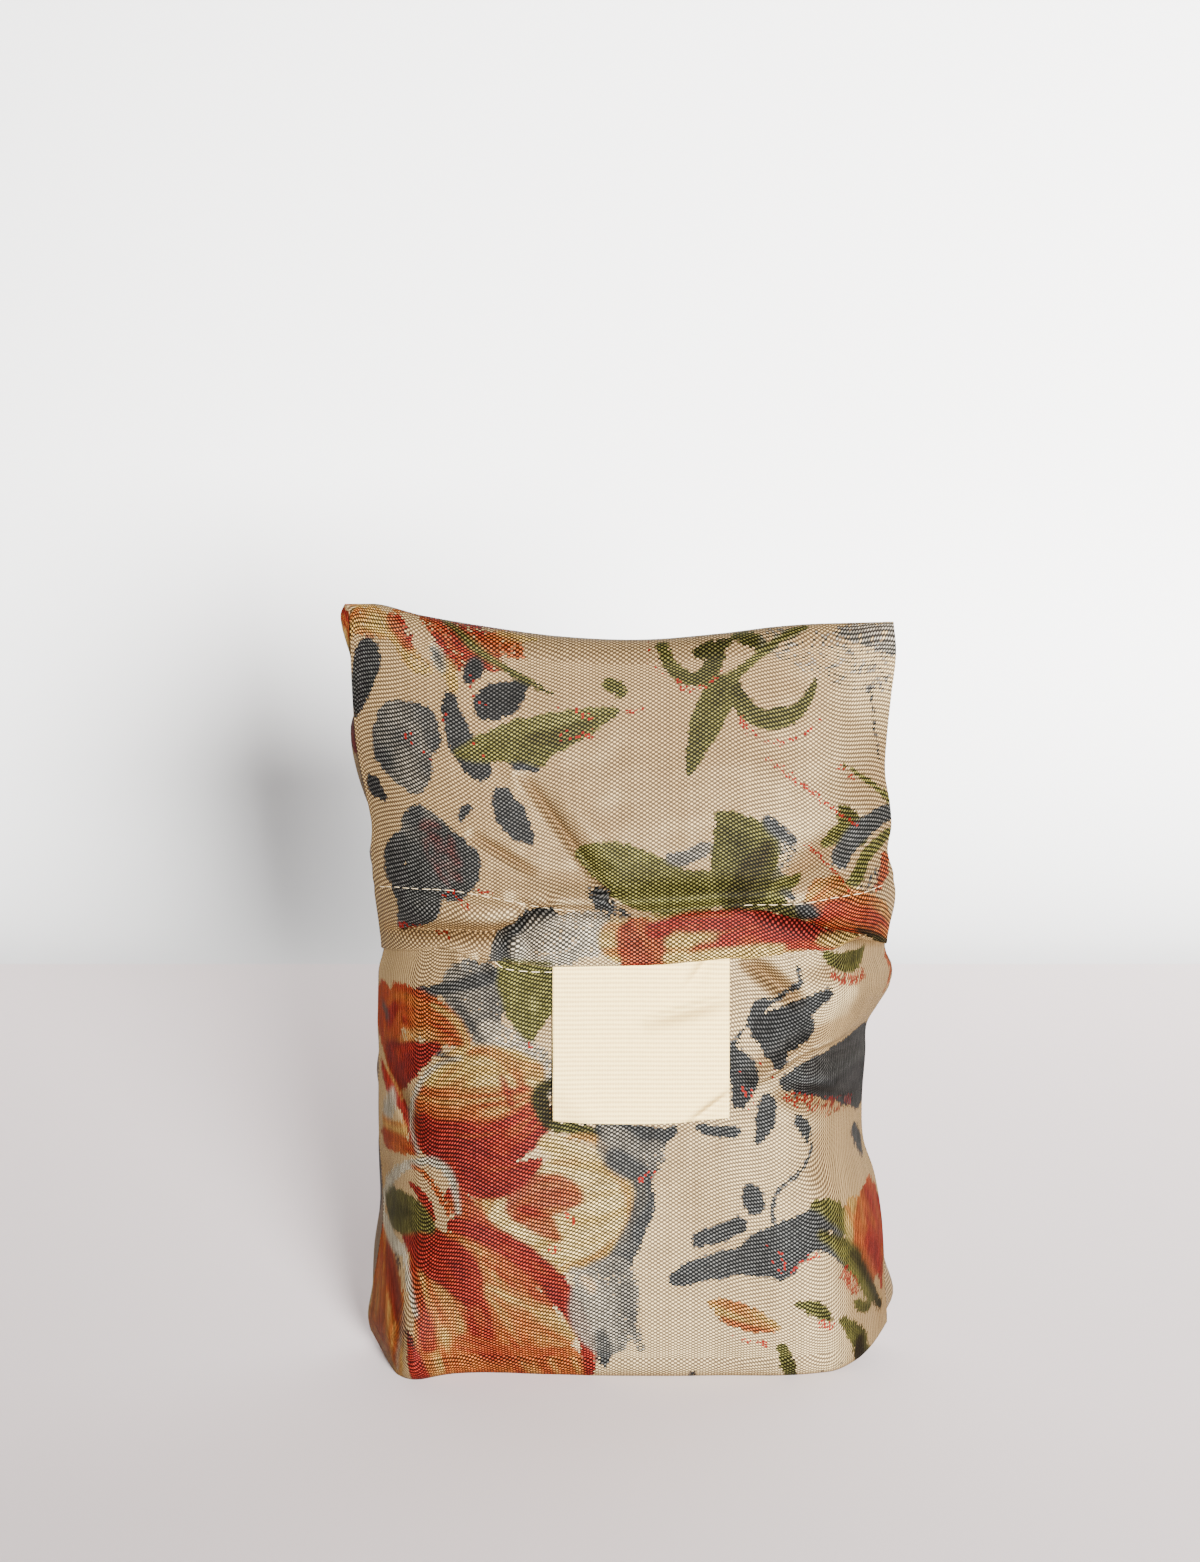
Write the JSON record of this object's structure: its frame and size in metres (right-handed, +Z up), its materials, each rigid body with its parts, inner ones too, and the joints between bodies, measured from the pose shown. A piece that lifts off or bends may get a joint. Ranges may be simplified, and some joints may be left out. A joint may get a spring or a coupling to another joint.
{
  "type": "reusable shopping bag folded in its pouch",
  "caption": "Printed cloth shopping bag folded up inside its own envelope pouch with a fold-over flap and a bare sewn label, standing on its foot.",
  "frame": {"origin": "on the surface that the pouch stands on, in the middle of its flat foot", "axes": "+X to the right as the flap is faced, +Y away from the flap to the back, +Z up"},
  "size_m": [0.1125, 0.0406, 0.1606],
  "materials": {
    "pouch_cloth": "silky plain weave, printed with red, orange, green and charcoal flowers, leaves and spots",
    "label_cotton": "fine ribbed off-white cotton tape, bare",
    "bag_cloth": "the same printed cloth as the pouch"
  },
  "bodies": {
    "root": {"pouch": "pouch_cloth", "label": "label_cotton", "folded_bag": "bag_cloth"}
  },
  "joints": []
}
